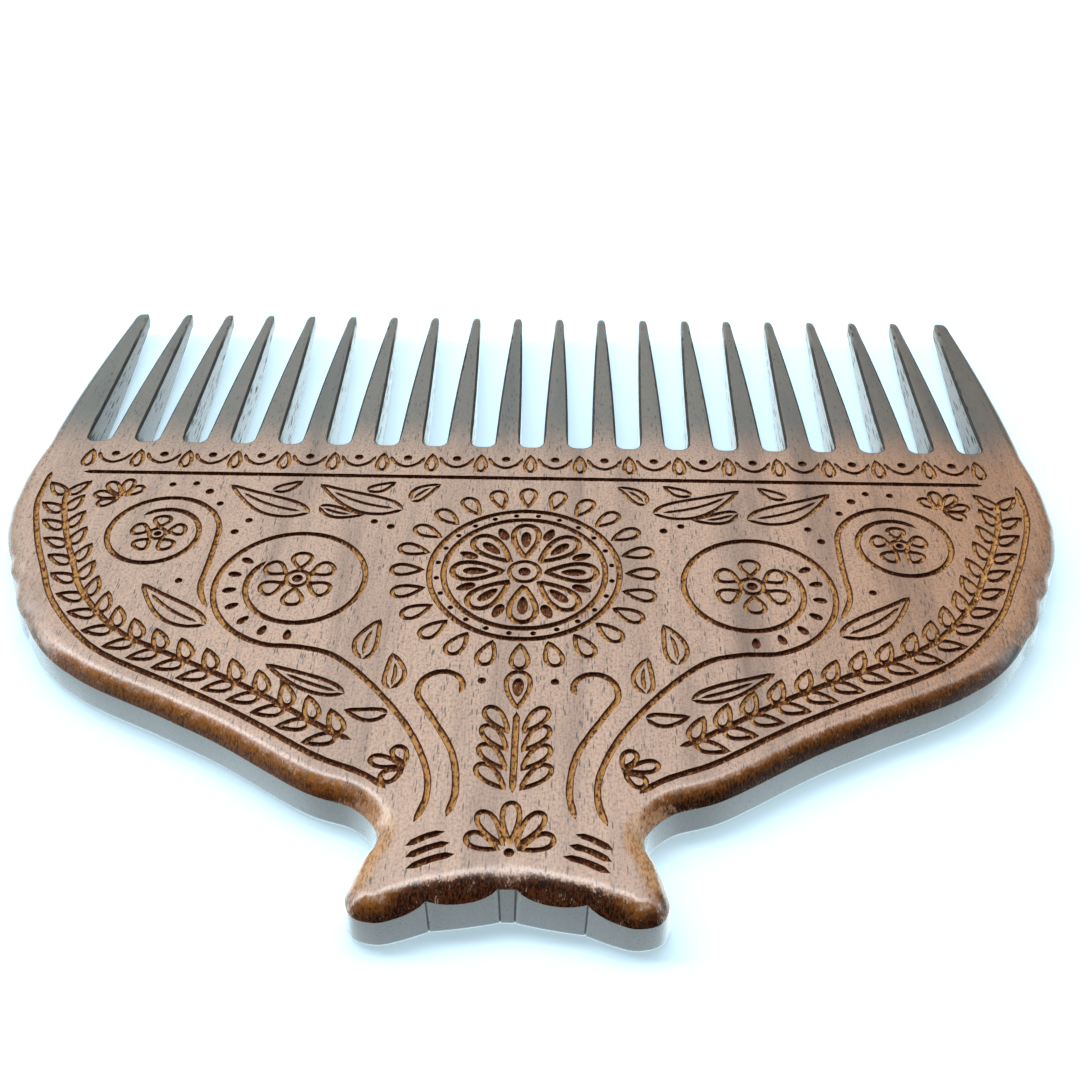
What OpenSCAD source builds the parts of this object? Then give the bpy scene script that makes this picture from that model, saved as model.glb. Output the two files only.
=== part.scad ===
// Wide-tooth grip comb cut from one board: a fan-shaped body with a waisted tail and a row of teeth.
// It lies on its flat back. X runs across the teeth, Y from the tail to the tooth tips, Z up to the front face.
// The origin is the middle of the outline, at the level of the back.

/* [Board] */
// Width over the widest part of the body
comb_w = 141; // [127:1:160]
// Length from the end of the tail to the tooth tips
comb_l = 116; // [106:1:140]
// Thickness of the body
board_t = 5.4; // [4.8:0.1:7]
// Length of the body, from the end of the tail to the gap bottoms
body_l = 76.5; // [69:0.5:85]

/* [Tail] */
// Width over the two lobes at the end of the tail
tail_w = 32.6; // [28:0.2:38]
// Distance from the end of the tail to the narrowest part of the waist
waist_y = 10.5; // [9:0.1:12]
// How far the middle of the tail end stands back from the lobes
tail_notch = 2.8; // [1.6:0.1:3.4]
// Width of the small flat between the two flutes in the tail end
key_w = 1.5; // [0.8:0.1:3]
// Depth of each flute in the tail end
flute_d = 0.25; // [0.1:0.05:0.5]

/* [Rim] */
// Round-over between the front face and the rim
front_r = 3; // [1.5:0.1:3.2]
// Round-over between the back face and the rim
back_r = 0.8; // [0.4:0.1:1.2]
// Round-over to which the front one narrows where the rim reaches the end teeth
guard_r = 2; // [1:0.1:2.4]
// Height of each scallop along the flanks
scallop_h = 0.3; // [0.1:0.05:0.6]

/* [Teeth] */
// Width of each gap at its bottom
gap_w = 3.4; // [3:0.1:4]
// Corner radius at the bottom of each gap
gap_r = 1.3; // [0.6:0.1:1.45]
// Height of the tooth stubs that stay with the body above the gap bottoms
stub_h = 1.7; // [1.5:0.1:3]
// Width of a tooth at its tip, before the end is rounded
tip_w = 1.5; // [1:0.1:2.2]
// Thickness of a tooth at its tip, before the end is rounded
tip_t = 2; // [1.6:0.1:3]
// Length of the rounded end of a tooth
tip_round_l = 2.4; // [1:0.1:4]
// Rounding along the long edges of a tooth
edge_r = 0.4; // [0.2:0.05:0.6]
// Width of an end tooth at its root
guard_w = 5.8; // [5:0.1:6.6]
// Width of an end tooth at its tip
guard_tip_w = 2.3; // [1.8:0.1:3]
// How far the outer edge of an end tooth leans in from root to tip
guard_lean = 2.2; // [1:0.1:3]

/* [Hidden] */
tooth_count = 20;
// Rounding of the tooth edges where they meet the sharp sawn stubs
root_edge_r = 0.06;
// Extra length of the gap cuts beyond the faces that they pass
overrun = 1;
// Steps along each curved stretch of the outline
curve_steps = 6;
// Turn of the round-overs from one facet to the next
front_step = 15;
back_step = 30;
corner_step = 30;
// Turns at which the rounded end of a tooth has a section
tip_turns = [24, 48, 68, 90];
// Smallest section of the rounded end, as a share of the full one
tip_end_share = 0.16;
// Places of the tooth sections between the root and the rounded end
tooth_station_shares = [0, 0.05, 0.35, 0.7, 1];
// Powers that shape how width and thickness fall towards the tip
width_power = 1.2;
thick_power = 1.25;
// How far the rim has drawn in from the full width where the end teeth start
guard_set = 0.9;

joint_y = body_l + stub_h;
tooth_l = comb_l - joint_y;
guard_out = comb_w / 2 - guard_set;
guard_in = guard_out - guard_w;
// The teeth between the end ones share what the gaps leave
tooth_w = (2 * guard_in - (tooth_count - 1) * gap_w) / (tooth_count - 2);
tooth_pitch = tooth_w + gap_w;

// Crease beside a flute, lobe and waist, as shares of half the tail's width and of the waist's distance
tail_shares = [
    [0.472, 0.152], [0.638, 0.052], [0.785, 0], [0.933, 0.062],
    [1, 0.257], [0.972, 0.495], [0.92, 0.762], [0.865, 1]
];
// Plain stretch of the flank, as shares of the way from the waist out to the full width and up to the gap bottoms
flank_shares = [[0.05, 0.047], [0.154, 0.08], [0.335, 0.173], [0.47, 0.232]];
// Corners between the scallops, in the same shares
scallop_shares = [[0.688, 0.327], [0.835, 0.461], [0.894, 0.561], [0.933, 0.627], [0.987, 0.752]];
// Shoulder above the scallops, in the same shares
shoulder_shares = [[0.997, 0.82], [0.997, 0.902]];
// Where the front round-over starts to narrow towards the end teeth
narrow_share = 0.72;
// Centre from which the flat faces of the tail are divided
hub_share = 1.02;

function unit(v) = v / norm(v);
function side_of(a, b) = unit([a.y - b.y, b.x - a.x]);
function flip(list) = [for (i = [len(list) - 1 : -1 : 0]) list[i]];
// Points placed by shares of the way from a to b
function spread(shares, a, b) = [for (s = shares) [a.x + s.x * (b.x - a.x), a.y + s.y * (b.y - a.y)]];

// Point at t between b and c on a smooth curve through a, b, c and d
function on_curve(a, b, c, d, t) =
    b + t / 2 * ((c - a) + t * (2 * a - 5 * b + 4 * c - d + t * (3 * b - a - 3 * c + d)));

// Points from corner list[i] up to the next one, with the stretch bowed out by bow
function stretch(list, i, bow) = [
    for (k = [0 : curve_steps - 1])
        let (
            t = k / curve_steps,
            a = list[max(i - 1, 0)],
            b = list[i],
            c = list[i + 1],
            d = list[min(i + 2, len(list) - 1)]
        )
        on_curve(a, b, c, d, t) - bow * sin(180 * t) * side_of(b, c)
];

// Right half of the outline, from the flat in the tail end up to the joint with the end tooth
tail_points = spread(tail_shares, [0, 0], [tail_w / 2, waist_y]);
crease = tail_points[0];
key = [key_w / 2, tail_notch];
waist = tail_points[len(tail_points) - 1];
widest = [comb_w / 2, body_l];
flank_points = spread(flank_shares, waist, widest);
scallop_points = spread(scallop_shares, waist, widest);
shoulder_points = spread(shoulder_shares, waist, widest);
guard_foot = [[guard_out, body_l], [guard_out, joint_y]];
chain = concat(tail_points, flank_points, scallop_points, shoulder_points, guard_foot);
first_scallop = len(tail_points) + len(flank_points);
last_scallop = first_scallop + len(scallop_points) - 2;
flute = [
    for (k = [0 : curve_steps - 1])
        let (t = k / curve_steps)
        key + t * (crease - key) + flute_d * sin(180 * t) * side_of(key, crease)
];
half_outline = concat(
    flute,
    [
        for (i = [0 : len(chain) - 2])
            each stretch(chain, i, i >= first_scallop && i <= last_scallop ? scallop_h : 0)
    ],
    [guard_foot[1]]
);
half_count = len(half_outline);
// Number of points before the waist, which the hub's fan covers
waist_index = len(flute) + (len(tail_points) - 1) * curve_steps;

// Direction into the board at each point of the half outline, straight inwards at the foot of the end tooth
half_inward = [
    for (i = [0 : half_count - 1])
        half_outline[i].y >= body_l
            ? [-1, 0]
            : i == 0
                ? unit([0, 1] + side_of(half_outline[0], half_outline[1]))
                : unit(
                    side_of(half_outline[i - 1], half_outline[i])
                    + side_of(half_outline[i], half_outline[i + 1])
                )
];

function smooth(t) = let (u = min(max(t, 0), 1)) u * u * (3 - 2 * u);
function rim_r(y) =
    front_r + (guard_r - front_r) * smooth((y / joint_y - narrow_share) / (1 - narrow_share));

// How far a round-over of radius r has drawn the rim in at a given depth under its face
function drawn_in(r, depth) = depth >= r ? 0 : r - sqrt(r * r - (r - depth) * (r - depth));
function rim_inset(y, z) = max(drawn_in(back_r, z), drawn_in(rim_r(y), board_t - z));

rim_levels = concat(
    [for (a = [0 : back_step : 90]) back_r * (1 - cos(a))],
    [for (a = [90 : -front_step : 0]) board_t - front_r * (1 - cos(a))]
);

function ring(z) =
    let (
        right = [
            for (i = [0 : half_count - 1])
                let (p = half_outline[i] + rim_inset(half_outline[i].y, z) * half_inward[i])
                [p.x, p.y, z]
        ]
    )
    concat(right, [for (p = flip(right)) [-p.x, p.y, p.z]]);

// Faces between neighbouring rings of count points each
function band_faces(bands, count) = [
    for (j = [0 : bands - 1], i = [0 : count - 1])
        let (a = j * count + i, b = j * count + (i + 1) % count)
        each [[a, a + count, b + count], [a, b + count, b]]
];

// Triangles of a flat face seen from the front: a fan round the hub in the tail, then slices up the body
function face_slices(start, hub) = concat(
    [for (i = [0 : waist_index - 1]) [hub, start + i, start + i + 1]],
    [
        for (i = [0 : waist_index - 1])
            [hub, start + 2 * half_count - 2 - i, start + 2 * half_count - 1 - i]
    ],
    [
        [hub, start + 2 * half_count - 1, start],
        [hub, start + waist_index, start + 2 * half_count - 1 - waist_index]
    ],
    [
        for (i = [waist_index : half_count - 2])
            let (
                a = start + i,
                b = start + i + 1,
                c = start + 2 * half_count - 2 - i,
                d = start + 2 * half_count - 1 - i
            )
            each [[a, b, c], [a, c, d]]
    ]
);

module board_blank() {
    count = 2 * half_count;
    bands = len(rim_levels) - 1;
    hubs = [[0, hub_share * waist_y, 0], [0, hub_share * waist_y, board_t]];
    back_hub = count * len(rim_levels);
    points = concat([for (z = rim_levels) each ring(z)], hubs);
    back_face = face_slices(0, back_hub);
    front_face = face_slices(bands * count, back_hub + 1);
    polyhedron(
        points = points,
        faces = concat(
            band_faces(bands, count),
            back_face,
            [for (f = front_face) flip(f)]
        )
    );
}

module gap_cut() {
    slot_l = stub_h - gap_r + overrun;
    translate([0, body_l, -overrun])
        linear_extrude(height = board_t + 2 * overrun) {
            translate([-gap_w / 2, gap_r])
                square([gap_w, slot_l]);
            translate([gap_r - gap_w / 2, 0])
                square([gap_w - 2 * gap_r, gap_r]);
            for (side = [-1, 1])
                translate([side * (gap_w / 2 - gap_r), gap_r])
                    circle(r = gap_r, $fn = 32);
        }
}

module comb_body() {
    color([0.36, 0.22, 0.15])
        translate([0, -comb_l / 2, 0])
            difference() {
                board_blank();
                for (n = [1 : tooth_count - 1])
                    translate([(n - tooth_count / 2) * tooth_pitch, 0, 0])
                        gap_cut();
            }
}

// Points round one corner of a tooth section, centred r inside the corner and starting at turn from
function corner_points(x, z, sx, sz, r, from) = [
    for (a = [from : corner_step : from + 90])
        [x - sx * r + r * cos(a), z - sz * r + r * sin(a)]
];

// Section of a tooth at station y: left and right edges, back and front, and the four corner radii
function section(y, x0, x1, z0, z1, radii) = [
    for (p = concat(
        corner_points(x1, z1, 1, 1, radii[0], 0),
        corner_points(x0, z1, -1, 1, radii[1], 90),
        corner_points(x0, z0, -1, -1, radii[2], 180),
        corner_points(x1, z0, 1, -1, radii[3], 270)
    ))
        [p.x, y, p.y]
];

function blend(a, b, t) = a + (b - a) * t;
function shrink(x0, x1, k) = [(x0 + x1) / 2 - k * (x1 - x0) / 2, (x0 + x1) / 2 + k * (x1 - x0) / 2];

// One tooth between two root edges and two tip edges; outer_r is the front radius of its left edge
module tooth_solid(root_edges, tip_edges, outer_r, outer_back_r) {
    straight_l = tooth_l - tip_round_l;
    stations = concat(
        [for (s = tooth_station_shares) [s * straight_l, 1]],
        [
            for (a = tip_turns)
                [straight_l + tip_round_l * sin(a), max(cos(a), tip_end_share)]
        ]
    );
    sections = [
        for (st = stations)
            let (
                s = min(st[0] / straight_l, 1),
                ws = pow(s, width_power),
                ts = pow(s, thick_power),
                r = st[0] > 0 ? edge_r : root_edge_r,
                front_outer = outer_r > 0 ? blend(outer_r, edge_r, s) : r,
                back_outer = outer_back_r > 0 ? blend(outer_back_r, edge_r, s) : r,
                edges = shrink(
                    blend(root_edges[0], tip_edges[0], ws),
                    blend(root_edges[1], tip_edges[1], ws),
                    st[1]
                ),
                faces_z = shrink(
                    blend(0, (board_t - tip_t) / 2, ts),
                    blend(board_t, (board_t + tip_t) / 2, ts),
                    st[1]
                )
            )
            section(
                joint_y + st[0], edges[0], edges[1], faces_z[0], faces_z[1],
                st[1] * [r, front_outer, back_outer, r]
            )
    ];
    count = len(sections[0]);
    last = len(sections) - 1;
    polyhedron(
        points = [for (s = sections) each s],
        faces = concat(
            [for (f = band_faces(last, count)) flip(f)],
            [[for (i = [count - 1 : -1 : 0]) i]],
            [[for (i = [0 : count - 1]) last * count + i]]
        )
    );
}

module tooth(n) {
    color([0.33, 0.25, 0.2])
        translate([(n - (tooth_count + 1) / 2) * tooth_pitch, -comb_l / 2, 0])
            tooth_solid([-tooth_w / 2, tooth_w / 2], [-tip_w / 2, tip_w / 2], 0, 0);
}

// End tooth, drawn at the left and mirrored for the right
module guard_tooth(side) {
    tip_out = guard_out - guard_lean;
    color([0.33, 0.25, 0.2])
        translate([0, -comb_l / 2, 0])
            mirror([side > 0 ? 1 : 0, 0, 0])
                tooth_solid([-guard_out, -guard_in], [-tip_out, guard_tip_w - tip_out], guard_r, back_r);
}

comb_body();
guard_tooth(-1);  // guard_tooth_left
for (n = [2 : tooth_count - 1])
    tooth(n);
guard_tooth(1);  // guard_tooth_right
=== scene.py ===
import math

import bpy
import numpy as np
from mathutils import Matrix, Vector
from mathutils.geometry import delaunay_2d_cdt
from mathutils.kdtree import KDTree


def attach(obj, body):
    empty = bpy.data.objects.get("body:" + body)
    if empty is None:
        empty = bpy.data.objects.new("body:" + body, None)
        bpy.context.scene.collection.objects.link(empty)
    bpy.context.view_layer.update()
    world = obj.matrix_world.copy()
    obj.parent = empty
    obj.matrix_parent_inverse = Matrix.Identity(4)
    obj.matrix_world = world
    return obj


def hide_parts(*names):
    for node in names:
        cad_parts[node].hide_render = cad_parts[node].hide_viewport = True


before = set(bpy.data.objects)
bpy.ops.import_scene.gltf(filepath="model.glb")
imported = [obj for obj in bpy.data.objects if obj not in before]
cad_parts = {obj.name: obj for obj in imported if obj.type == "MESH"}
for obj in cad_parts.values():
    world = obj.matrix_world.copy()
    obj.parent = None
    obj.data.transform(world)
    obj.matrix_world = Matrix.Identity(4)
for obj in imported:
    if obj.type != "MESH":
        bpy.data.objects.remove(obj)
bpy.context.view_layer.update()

print("comb: frame loaded,", len(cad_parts), "nodes")

# Shapes are worked out in millimetres, with Y counted from the end of the tail.
# Materials and lights read places in the shared frame instead, in metres.
mm = 0.001
board = {
    "width": 141.0, "length": 116.0, "thick": 5.4, "bodyLength": 76.5,
    "tailWidth": 32.6, "waistY": 10.5, "tailNotch": 2.8, "keyWidth": 1.5, "fluteBow": 0.1,
    "backRound": 0.8, "guardRound": 2.0, "scallopHeight": 0.3,
    "gapWidth": 3.4, "gapCorner": 1.3, "stubHeight": 1.7, "guardWidth": 5.8, "guardSet": 0.9,
    "toothCount": 20, "sawnRound": 0.22, "creaseWidth": 0.13, "creaseDepth": 0.12,
    "curveSteps": 11, "frontSteps": 12, "backSteps": 5, "edgeStep": 0.03, "gapAngleStep": 15,
    "sharpAngle": 32,
}
tailShares = [(0.472, 0.152), (0.638, 0.052), (0.785, 0), (0.933, 0.062),
              (1, 0.257), (0.972, 0.495), (0.92, 0.762), (0.865, 1)]
flankShares = [(0.05, 0.047), (0.154, 0.08), (0.335, 0.173), (0.47, 0.232)]
scallopShares = [(0.688, 0.327), (0.835, 0.461), (0.894, 0.561), (0.933, 0.627), (0.987, 0.752)]
shoulderShares = [(0.997, 0.82), (0.997, 0.902)]
jointY = board["bodyLength"] + board["stubHeight"]
guardOut = board["width"] / 2 - board["guardSet"]
guardIn = guardOut - board["guardWidth"]
toothWidth = ((2 * guardIn - (board["toothCount"] - 1) * board["gapWidth"])
              / (board["toothCount"] - 2))
pitch = toothWidth + board["gapWidth"]

# the front round-over: how far in it reaches, how far the wall under it leans in, and how deep it starts
rimEdge = {
    "reach": 2.95, "lean": 0.35, "stop": 1.5, "tailTop": 4, "narrowFrom": 0.72, "narrowTo": 0.97,
    "lobeReach": 3.6, "lobeFrom": 13.5, "lobeRun": 2.5,
    "fluteReach": 4.1, "fluteFrom": 10.5, "fluteRun": 9,
    "fluteLean": 0.45, "fluteStop": 1.2, "fluteArch": 2.4,
    "endLean": 0.5, "endLeanFall": 0.15, "endStop": 0.65, "endStopFall": 0.2,
    "keyLean": 1.0, "keyStop": 0.5, "footLean": 0.8, "footStop": 0.75, "footRun": 1.3,
}


def unit(v):
    v = np.asarray(v, float)
    return v / max(np.linalg.norm(v), 1e-9)


def toward(angle):
    return math.cos(math.radians(angle)), math.sin(math.radians(angle))


def away(x, y, angle, far):
    c, s = toward(angle)
    return x + far * c, y + far * s


def between(first, last, share):
    return first + (last - first) * share


def sideOf(a, b):
    return unit((a[1] - b[1], b[0] - a[0]))


def leftOf(steps):
    # unit vectors to the left of each step
    steps = steps / np.linalg.norm(steps, axis=1)[:, None]
    return np.stack([-steps[:, 1], steps[:, 0]], 1)


def runAlong(line):
    return np.concatenate([[0], np.cumsum(np.linalg.norm(np.diff(line, axis=0), axis=1))])


def softened(values, reach):
    # running mean over as many values as reach says to either side
    count = 2 * reach + 1
    return np.convolve(np.pad(values, reach, "edge"), np.ones(count) / count, "valid")


def onCurve(a, b, c, d, t):
    return b + t / 2 * ((c - a) + t * (2 * a - 5 * b + 4 * c - d + t * (3 * b - a - 3 * c + d)))


def blend(t, first, last):
    t = min(max(t, 0), 1)
    return first + (last - first) * t * t * (3 - 2 * t)


def rimRound(p):
    # widest in the tail end, highest over the flutes there, and narrower where the rim meets the guard teeth
    edge = rimEdge
    if p[1] > edge["tailTop"]:
        t = (p[1] / jointY - edge["narrowFrom"]) / (edge["narrowTo"] - edge["narrowFrom"])
        last = board["guardRound"]
        return blend(t, edge["reach"], last), blend(t, edge["lean"], 0), blend(t, edge["stop"], last)
    x, key = abs(p[0]), board["keyWidth"] / 2
    foot = tailShares[0][0] * board["tailWidth"] / 2
    reach = blend((edge["lobeFrom"] - x) / edge["lobeRun"], edge["reach"], edge["lobeReach"])
    reach = blend((edge["fluteFrom"] - x) / edge["fluteRun"], reach, edge["fluteReach"])
    if x <= key:
        return reach, edge["keyLean"], edge["keyStop"]
    if x <= foot:
        t = (x - key) / (foot - key)
        ends = abs(2 * t - 1) ** edge["fluteArch"]
        lean = edge["fluteLean"] + ends * (edge["endLean"] - edge["endLeanFall"] * t)
        return reach, lean, edge["fluteStop"] - ends * (edge["endStop"] - edge["endStopFall"] * t)
    fall = math.exp((foot - x) / edge["footRun"])
    return reach, between(edge["lean"], edge["footLean"], fall), between(edge["stop"], edge["footStop"], fall)


def rimPoints():
    # the right-hand rim's own points: round the tail lobe to the waist, and from there up to the shoulder
    tail = [np.array((x * board["tailWidth"] / 2, y * board["waistY"])) for x, y in tailShares]
    waist, widest = tail[-1], np.array((board["width"] / 2, board["bodyLength"]))
    shares = flankShares + scallopShares + shoulderShares
    return tail, [waist + np.array(s) * (widest - waist) for s in shares]


def halfOutline():
    # right half of the board's outline, from the key in the tail end up to the guard tooth.
    # The flute and the scallops bow outward
    tail, upper = rimPoints()
    foot = [np.array((guardOut, board["bodyLength"])), np.array((guardOut, jointY))]
    chain = tail + upper + foot
    firstScallop = len(tail) + len(flankShares)
    lastScallop = firstScallop + len(scallopShares) - 2
    key = np.array((board["keyWidth"] / 2, board["tailNotch"]))
    steps = board["curveSteps"]
    points = []
    for k in range(steps):
        t = k / steps
        bow = board["fluteBow"] * math.sin(math.pi * t)
        points.append(key + t * (chain[0] - key) - bow * sideOf(key, chain[0]))
    for i in range(len(chain) - 1):
        a, b, c, d = chain[max(i - 1, 0)], chain[i], chain[i + 1], chain[min(i + 2, len(chain) - 1)]
        height = board["scallopHeight"] if firstScallop <= i <= lastScallop else 0
        for k in range(steps):
            t = k / steps
            place = b + t * (c - b) if i == len(chain) - 2 else onCurve(a, b, c, d, t)
            points.append(place - height * math.sin(math.pi * t) * sideOf(b, c))
    return points + [foot[1]]


def gapOutline():
    # the rounded gap bottoms from right to left: place, and way into the wood
    w, r = board["gapWidth"] / 2, board["gapCorner"]
    made = []
    for n in range(board["toothCount"] - 1, 0, -1):
        cx = (n - board["toothCount"] / 2) * pitch
        made.append(((cx + w, jointY), (1, 0)))
        for side, first in ((1, 0), (-1, -90)):
            for a in range(first, first - 91, -board["gapAngleStep"]):
                c, s = toward(a)
                made.append(((cx + side * (w - r) + r * c, board["bodyLength"] + r + r * s), (c, s)))
        made.append(((cx - w, jointY), (-1, 0)))
    return made


def fullOutline():
    # once round the body: place, way into the wood, front round-over, and whether it lies in a gap
    half = halfOutline()
    right = []
    for i, p in enumerate(half):
        if p[1] >= board["bodyLength"]:
            inward = np.array((-1.0, 0.0))
        elif i == 0:
            inward = unit(np.array((0, 1)) + sideOf(half[0], half[1]))
        else:
            inward = unit(sideOf(half[i - 1], p) + sideOf(p, half[i + 1]))
        right.append((p, inward, rimRound(p), False))
    # a fine vertical crease on either side of each flute
    for i in (board["curveSteps"], 0):
        p, n, *rest = right[i]
        along = np.array((n[1], -n[0])) * board["creaseWidth"]
        crease = p - along, p + n * board["creaseDepth"], p + along
        right[i:i + 1] = [(place, n, *rest) for place in crease]
    left = [(p * (-1, 1), n * (-1, 1), *rest) for p, n, *rest in right[::-1]]
    sawn = board["sawnRound"]
    gaps = [(np.array(p, float), np.array(n, float), (sawn, 0, sawn), True) for p, n in gapOutline()]
    return right + gaps + left


def quarterRound(radius, steps):
    # way in from the wall, and way off the face, of the points of a plain round-over, face first
    angles = [toward(90 * k / steps) for k in range(steps + 1)]
    return [(radius * (1 - s), radius * (1 - c)) for c, s in angles]


def roundOver(front, inGap):
    # way in from the rim, height and turn (1 wall, 0 face), from the back face round to the front face
    reach, lean, stop = front
    radius = ((reach - lean) ** 2 + stop ** 2) / (2 * stop)
    steepest = math.acos(1 - stop / radius)
    back = board["sawnRound" if inGap else "backRound"]
    profile = [(way, z, 1) for way, z in quarterRound(back, board["backSteps"])]
    profile.append((lean, board["thick"] - stop - board["edgeStep"], 1))
    for k in range(board["frontSteps"] + 1):
        a = steepest * (1 - k / board["frontSteps"])
        height = board["thick"] - radius * (1 - math.cos(a))
        profile.append((reach - radius * math.sin(a), height, math.degrees(a) / 90))
    return profile


carving = {
    "lineWidth": 0.8, "fineWidth": 0.62, "depthShare": 0.6, "wobble": 0.14, "wobbleSeed": 11,
    "curveStep": 0.1, "finestStep": 0.24, "longestStep": 0.8, "turnPerStep": 0.14, "sampleStep": 0.09,
    "bendReach": 4, "rimReach": 30, "rimThinning": 8, "ringAngleStep": 3, "beadAngleStep": 20,
    "shoulder": 0.55, "shoulderDepth": 0.8, "lip": 0.95, "pitDepth": 0.42, "pitWall": 0.14,
    "dropPoints": 90, "dropBelly": 1.18, "dropPower": 1.1, "seedBlunt": 0.75, "seedThinning": 4,
    "curlAngleStep": 22, "curlPower": 0.9, "fanFall": 0.3, "carvedFrom": 0.02,
}
strokes, pits = [], []
wobbleDraws = np.random.default_rng(carving["wobbleSeed"])


def smoothLine(points, closed=False):
    # fine points on a smooth curve through a few
    p = [np.array(q, float) for q in points]
    n = len(p)
    fine = []
    for i in range(n if closed else n - 1):
        a, b, c, d = (p[(i + k) % n] if closed else p[min(max(i + k, 0), n - 1)] for k in (-1, 0, 1, 2))
        steps = max(4, int(np.linalg.norm(c - b) / carving["curveStep"]))
        fine += [onCurve(a, b, c, d, k / steps) for k in range(steps)]
    if not closed:
        fine.append(p[-1])
    return np.array(fine)


def stations(fine, closed):
    # thins a fine curve out: close where it bends, wide apart where it runs straight
    step = np.diff(np.vstack([fine, fine[:1]]) if closed else fine, axis=0)
    length = np.linalg.norm(step, axis=1)
    heading = np.unwrap(np.arctan2(step[:, 1], step[:, 0]))
    bend = np.abs(np.diff(heading, append=heading[-1])) / np.maximum(length, 1e-6)
    bend = softened(bend, carving["bendReach"])
    want = carving["turnPerStep"] / np.maximum(bend, 1e-3)
    want = np.clip(want, carving["finestStep"], carving["longestStep"])
    along = np.concatenate([[0], np.cumsum(length / want)])
    count = max(3, int(round(along[-1])))
    marks = np.linspace(0, along[-1], count + 1)
    if closed:
        marks = marks[:-1]
        fine = np.vstack([fine, fine[:1]])
    return np.stack([np.interp(marks, along, fine[:, k]) for k in (0, 1)], 1)


def engrave(points, width=None, ends=(1.6, 1.6), closed=False, both=True, smooth=True):
    # one groove along a curve, drawn out to a point at its ends, and its twin on the other half
    width = width or carving["lineWidth"]
    fine = smoothLine(points, closed) if smooth else np.array(points, float)
    centre = stations(fine, closed)
    widths = np.full(len(centre), width)
    if closed:
        along = np.roll(centre, -1, 0) - np.roll(centre, 1, 0)
    else:
        along = np.gradient(centre, axis=0)
        run = runAlong(centre)
        for way, end in ((run, ends[0]), (run[-1] - run, ends[1])):
            t = np.clip(way / end, 0, 1)
            widths = np.minimum(widths, width * np.sqrt(t * (2 - t)))
    normal = leftOf(along)
    for flip in (1, -1) if both else (1,):
        uneven = widths * (1 + carving["wobble"] * (wobbleDraws.random(len(widths)) - 0.5))
        strokes.append((centre * (flip, 1), normal * (flip, 1), uneven, closed))


def alongRim(way, low, high):
    # points that follow the right-hand rim at a distance, between two heights
    tail, upper = rimPoints()
    fine = smoothLine(tail[-3:] + upper)
    inner = fine + leftOf(np.gradient(fine, axis=0)) * way
    soft = np.stack([softened(inner[:, k], carving["rimReach"]) for k in (0, 1)], 1)
    between = soft[(soft[:, 1] > low) & (soft[:, 1] < high)]
    return [tuple(p) for p in between[::carving["rimThinning"]]]


def circle(cx, cy, r, angleStep):
    turn = np.radians(np.arange(0, 360, angleStep))
    return np.stack([cx + r * np.cos(turn), cy + r * np.sin(turn)], 1)


def ring(cx, cy, r, width=None, both=True):
    engrave(circle(cx, cy, r, carving["ringAngleStep"]), width, closed=True, both=both, smooth=False)


def dropShape(cx, cy, heading, length, width, blunt=0.0):
    # outline of a drop whose point is at (cx, cy) and whose round end lies along heading
    t = np.linspace(0, 2 * math.pi, carving["dropPoints"], endpoint=False)
    x = length * (0.5 - 0.5 * np.cos(t))
    belly = blunt + (carving["dropBelly"] - blunt) * np.sin(t / 2) ** carving["dropPower"]
    y = width / 2 * np.sin(t) * belly
    c, s = toward(heading)
    return np.stack([cx + x * c - y * s, cy + x * s + y * c], 1)


def drop(cx, cy, heading, length, width, line=None, both=True):
    shape = dropShape(cx, cy, heading, length, width)
    engrave(shape, line or carving["fineWidth"], closed=True, both=both, smooth=False)


def pit(outline, both=True):
    # a sunk patch with a flat floor; its outline runs counterclockwise
    x, y = np.array(outline, float).T
    if (x * np.roll(y, -1) - y * np.roll(x, -1)).sum() < 0:
        x, y = x[::-1], y[::-1]
    pits.append(np.stack([x, y], 1))
    if both:
        pits.append(np.stack([-x, y], 1)[::-1])


def bead(cx, cy, r, both=True):
    pit(circle(cx, cy, r, carving["beadAngleStep"]), both)


def seed(cx, cy, heading, length, width, both=True):
    shape = dropShape(cx, cy, heading, length, width, carving["seedBlunt"])
    pit(shape[::carving["seedThinning"]], both)


leafShape = {
    "bellyPower": 0.72, "narrowing": 0.15, "sidePoints": 9, "sideEnds": (0.7, 1.3),
    "veinFrom": 0.1, "veinPoints": 6, "veinEnds": (0.8, 1.6), "veinWidth": 0.85,
}


def leaf(base, tip, belly, bend, vein=0.72):
    # two sides, and a vein up to a share of the length; bend bows the whole leaf to its left
    shape, line = leafShape, carving["fineWidth"]
    base, tip = np.array(base, float), np.array(tip, float)
    along = tip - base
    left = np.array((-along[1], along[0])) / np.linalg.norm(along)

    def side(share, t):
        bulge = share * math.sin(math.pi * t ** shape["bellyPower"]) * (1 - shape["narrowing"] * t)
        return base + along * t + left * (bend * math.sin(math.pi * t) + bulge)

    for share in (belly, -belly):
        points = [side(share, t) for t in np.linspace(0, 1, shape["sidePoints"])]
        engrave(points, line, shape["sideEnds"])
    if vein:
        points = [side(0, t) for t in np.linspace(shape["veinFrom"], vein, shape["veinPoints"])]
        engrave(points, line * shape["veinWidth"], shape["veinEnds"])


def curl(cx, cy, start, turn, r0, r1):
    # points of a spiral round (cx, cy), from radius r0 at angle start through turn degrees to radius r1
    count = max(6, int(abs(turn) / carving["curlAngleStep"]))
    made = []
    for k in range(count + 1):
        t = k / count
        made.append(away(cx, cy, start + turn * t, between(r0, r1, t ** carving["curlPower"])))
    return made


flowerShares = {"eye": 0.15, "ring": 0.3, "petalFrom": 0.4, "petalLength": 0.62, "petalWidth": 3.4}


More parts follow.
